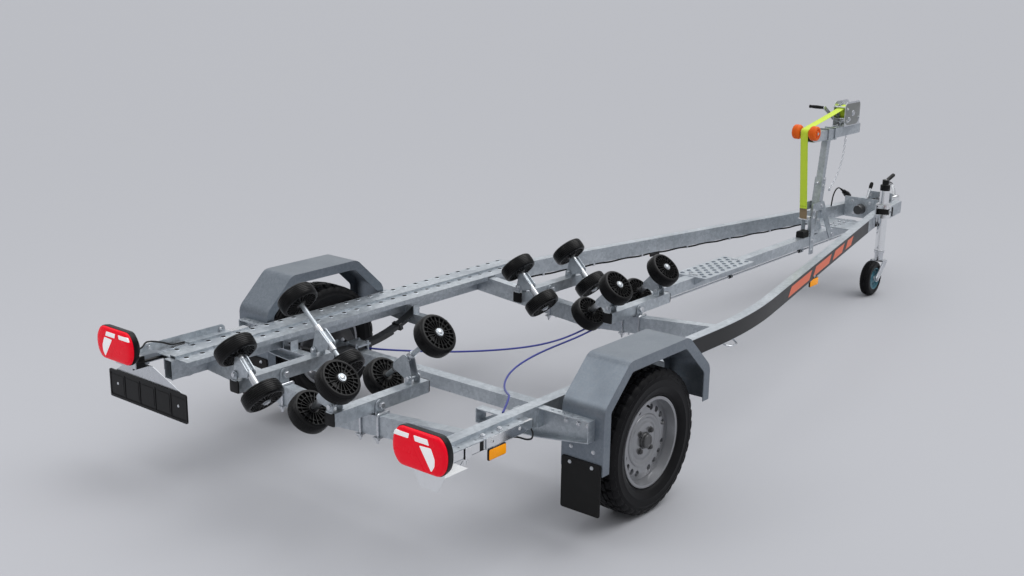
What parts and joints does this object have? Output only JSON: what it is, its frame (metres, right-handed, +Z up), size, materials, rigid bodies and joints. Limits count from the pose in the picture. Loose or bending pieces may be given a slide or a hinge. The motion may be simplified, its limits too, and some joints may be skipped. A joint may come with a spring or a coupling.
{
  "type": "boat trailer",
  "caption": "Galvanised single-axle boat trailer: V frame, tilting keel roller bogies, winch post with strap, braked coupling, jockey wheel, mudguards and rear lamps.",
  "frame": {"origin": "floor level under the middle of the trailer's length, on its centre line", "axes": "+X forward to the coupling, +Y to the trailer's left, +Z up"},
  "size_m": [5.75, 2.07, 1.232],
  "materials": {
    "galvanised_steel": "hot-dip galvanised, satin, light spangle",
    "wheel_steel": "silver-grey lacquer",
    "tyre_rubber": "matte black tyre rubber",
    "black_rubber": "matte black rubber",
    "black_plastic": "satin black moulded plastic",
    "spring_steel": "black painted spring steel",
    "orange_rubber": "satin orange polyurethane",
    "zinc_plated_steel": "zinc plated, light satin",
    "strap_webbing": "woven lime polyester webbing",
    "coupling_paint": "black painted casting with rubber bellows",
    "red_lens": "red moulded lens with white reflex patches"
  },
  "bodies": {
    "frame": {"side_beam_left": "galvanised_steel", "side_beam_right": "galvanised_steel", "walkway_and_rail": "galvanised_steel", "cross_members": "galvanised_steel", "centre_beam": "galvanised_steel", "step_plate": "galvanised_steel", "outrigger_arms": "galvanised_steel", "axle_beam": "galvanised_steel", "leaf_springs": "spring_steel", "mudguard_left": "galvanised_steel", "mudguard_right": "galvanised_steel", "mudflaps": "black_rubber", "brake_rod": "galvanised_steel", "axle_hoses": "black_rubber", "winch_post": "galvanised_steel", "winch_frame": "zinc_plated_steel", "winch_strap": "strap_webbing", "keel_block": "black_rubber", "nose_plates": "galvanised_steel", "coupling_housing": "coupling_paint", "coupling_head": "coupling_paint", "jockey_clamp": "galvanised_steel", "plug_cable": "black_rubber", "plug": "black_plastic"},
    "wheel_left": {"tyre_left": "tyre_rubber", "rim_left": "wheel_steel"},
    "wheel_right": {"tyre_right": "tyre_rubber", "rim_right": "wheel_steel"},
    "rocker_rear_left": {"rocker_rear_left": "galvanised_steel"},
    "rocker_rear_right": {"rocker_rear_right": "galvanised_steel"},
    "rocker_front_left": {"rocker_front_left": "galvanised_steel"},
    "rocker_front_right": {"rocker_front_right": "galvanised_steel"},
    "yoke_tail_left": {"yoke_tail_left": "galvanised_steel"},
    "rollers_tail_left": {"rollers_tail_left": "black_plastic"},
    "yoke_tail_right": {"yoke_tail_right": "galvanised_steel"},
    "rollers_tail_right": {"rollers_tail_right": "black_plastic"},
    "yoke_tall_left": {"yoke_tall_left": "galvanised_steel"},
    "rollers_tall_left": {"rollers_tall_left": "black_plastic"},
    "yoke_tall_right": {"yoke_tall_right": "galvanised_steel"},
    "rollers_tall_right": {"rollers_tall_right": "black_plastic"},
    "yoke_mid_left": {"yoke_mid_left": "galvanised_steel"},
    "rollers_mid_left": {"rollers_mid_left": "black_plastic"},
    "yoke_mid_right": {"yoke_mid_right": "galvanised_steel"},
    "rollers_mid_right": {"rollers_mid_right": "black_plastic"},
    "yoke_fore_left": {"yoke_fore_left": "galvanised_steel"},
    "rollers_fore_left": {"rollers_fore_left": "black_plastic"},
    "yoke_fore_right": {"yoke_fore_right": "galvanised_steel"},
    "rollers_fore_right": {"rollers_fore_right": "black_plastic"},
    "bow_roller": {"bow_roller": "orange_rubber"},
    "winch_drum": {"winch_drum": "zinc_plated_steel"},
    "winch_crank": {"winch_crank": "zinc_plated_steel"},
    "jockey_tube": {"jockey_tube": "galvanised_steel"},
    "jockey_leg": {"jockey_leg": "galvanised_steel"},
    "jockey_fork": {"jockey_fork": "galvanised_steel"},
    "jockey_wheel": {"jockey_wheel": "black_rubber"},
    "light_arm_left": {"light_arm_left": "galvanised_steel", "lamp_left": "red_lens", "plate_holder": "black_plastic"},
    "light_arm_right": {"light_arm_right": "galvanised_steel", "lamp_right": "red_lens"}
  },
  "joints": [
    {"name": "wheel_left_spin", "type": "hinge", "parent": "frame", "child": "wheel_left", "pos_m": [-1.705, 0.911, 0.296], "axis": [0, 1, 0], "continuous": true},
    {"name": "wheel_right_spin", "type": "hinge", "parent": "frame", "child": "wheel_right", "pos_m": [-1.705, -0.911, 0.296], "axis": [0, 1, 0], "continuous": true},
    {"name": "rocker_rear_left_pivot", "type": "hinge", "parent": "frame", "child": "rocker_rear_left", "pos_m": [-2.505, 0.265, 0.505], "axis": [0, 1, 0], "range_deg": [-8, 8]},
    {"name": "rocker_rear_right_pivot", "type": "hinge", "parent": "frame", "child": "rocker_rear_right", "pos_m": [-2.505, -0.265, 0.505], "axis": [0, 1, 0], "range_deg": [-8, 8]},
    {"name": "rocker_front_left_pivot", "type": "hinge", "parent": "frame", "child": "rocker_front_left", "pos_m": [-0.78, 0.265, 0.505], "axis": [0, 1, 0], "range_deg": [-8, 8]},
    {"name": "rocker_front_right_pivot", "type": "hinge", "parent": "frame", "child": "rocker_front_right", "pos_m": [-0.78, -0.265, 0.505], "axis": [0, 1, 0], "range_deg": [-8, 8]},
    {"name": "yoke_tail_left_pivot", "type": "hinge", "parent": "rocker_rear_left", "child": "yoke_tail_left", "pos_m": [-2.702, 0.265, 0.552], "axis": [1, 0, 0], "range_deg": [-40, 0]},
    {"name": "rollers_tail_left_spin", "type": "hinge", "parent": "yoke_tail_left", "child": "rollers_tail_left", "pos_m": [-2.702, 0.208, 0.568], "axis": [0, 0.7071, 0.7071], "continuous": true},
    {"name": "yoke_tail_right_pivot", "type": "hinge", "parent": "rocker_rear_right", "child": "yoke_tail_right", "pos_m": [-2.702, -0.265, 0.552], "axis": [-1, 0, 0], "range_deg": [-40, 0]},
    {"name": "rollers_tail_right_spin", "type": "hinge", "parent": "yoke_tail_right", "child": "rollers_tail_right", "pos_m": [-2.702, -0.208, 0.568], "axis": [0, -0.7071, 0.7071], "continuous": true},
    {"name": "yoke_tall_left_pivot", "type": "hinge", "parent": "rocker_rear_left", "child": "yoke_tall_left", "pos_m": [-2.298, 0.265, 0.552], "axis": [1, 0, 0], "range_deg": [-40, 0]},
    {"name": "rollers_tall_left_spin", "type": "hinge", "parent": "yoke_tall_left", "child": "rollers_tall_left", "pos_m": [-2.298, 0.244, 0.627], "axis": [0, 0.766, 0.6428], "continuous": true},
    {"name": "yoke_tall_right_pivot", "type": "hinge", "parent": "rocker_rear_right", "child": "yoke_tall_right", "pos_m": [-2.298, -0.265, 0.552], "axis": [-1, 0, 0], "range_deg": [-40, 0]},
    {"name": "rollers_tall_right_spin", "type": "hinge", "parent": "yoke_tall_right", "child": "rollers_tall_right", "pos_m": [-2.298, -0.244, 0.627], "axis": [0, -0.766, 0.6428], "continuous": true},
    {"name": "yoke_mid_left_pivot", "type": "hinge", "parent": "rocker_front_left", "child": "yoke_mid_left", "pos_m": [-0.977, 0.265, 0.552], "axis": [1, 0, 0], "range_deg": [-40, 0]},
    {"name": "rollers_mid_left_spin", "type": "hinge", "parent": "yoke_mid_left", "child": "rollers_mid_left", "pos_m": [-0.977, 0.212, 0.57], "axis": [0, 0.7071, 0.7071], "continuous": true},
    {"name": "yoke_mid_right_pivot", "type": "hinge", "parent": "rocker_front_right", "child": "yoke_mid_right", "pos_m": [-0.977, -0.265, 0.552], "axis": [-1, 0, 0], "range_deg": [-40, 0]},
    {"name": "rollers_mid_right_spin", "type": "hinge", "parent": "yoke_mid_right", "child": "rollers_mid_right", "pos_m": [-0.977, -0.212, 0.57], "axis": [0, -0.7071, 0.7071], "continuous": true},
    {"name": "yoke_fore_left_pivot", "type": "hinge", "parent": "rocker_front_left", "child": "yoke_fore_left", "pos_m": [-0.573, 0.265, 0.552], "axis": [1, 0, 0], "range_deg": [-40, 0]},
    {"name": "rollers_fore_left_spin", "type": "hinge", "parent": "yoke_fore_left", "child": "rollers_fore_left", "pos_m": [-0.573, 0.21, 0.58], "axis": [0, 0.7071, 0.7071], "continuous": true},
    {"name": "yoke_fore_right_pivot", "type": "hinge", "parent": "rocker_front_right", "child": "yoke_fore_right", "pos_m": [-0.573, -0.265, 0.552], "axis": [-1, 0, 0], "range_deg": [-40, 0]},
    {"name": "rollers_fore_right_spin", "type": "hinge", "parent": "yoke_fore_right", "child": "rollers_fore_right", "pos_m": [-0.573, -0.21, 0.58], "axis": [0, -0.7071, 0.7071], "continuous": true},
    {"name": "bow_roller_spin", "type": "hinge", "parent": "frame", "child": "bow_roller", "pos_m": [1.415, 0, 1.085], "axis": [0, 1, 0], "continuous": true},
    {"name": "winch_drum_turn", "type": "hinge", "parent": "frame", "child": "winch_drum", "pos_m": [1.96, 0, 1.158], "axis": [0, 1, 0], "continuous": true},
    {"name": "winch_crank_turn", "type": "hinge", "parent": "frame", "child": "winch_crank", "pos_m": [1.907, 0, 1.122], "axis": [0, 1, 0], "continuous": true},
    {"name": "jockey_clamp_slide", "type": "slide", "parent": "frame", "child": "jockey_tube", "axis": [0, 0, 1], "range_m": [0, 0.15]},
    {"name": "jockey_screw_slide", "type": "slide", "parent": "jockey_tube", "child": "jockey_leg", "axis": [0, 0, -1], "range_m": [-0.035, 0.18]},
    {"name": "jockey_swivel", "type": "hinge", "parent": "jockey_leg", "child": "jockey_fork", "pos_m": [2.10359, -0.24057, 0.245], "axis": [0, 0, 1], "continuous": true},
    {"name": "jockey_wheel_spin", "type": "hinge", "parent": "jockey_fork", "child": "jockey_wheel", "pos_m": [2.00359, -0.24057, 0.112], "axis": [0, 1, 0], "continuous": true},
    {"name": "light_arm_left_slide", "type": "slide", "parent": "frame", "child": "light_arm_left", "axis": [-1, 0, 0], "range_m": [0, 0.15]},
    {"name": "light_arm_right_slide", "type": "slide", "parent": "frame", "child": "light_arm_right", "axis": [-1, 0, 0], "range_m": [0, 0.15]}
  ],
  "couplings": [
    {"joint": "winch_crank_turn", "follows": "winch_drum_turn", "ratio": -4}
  ]
}
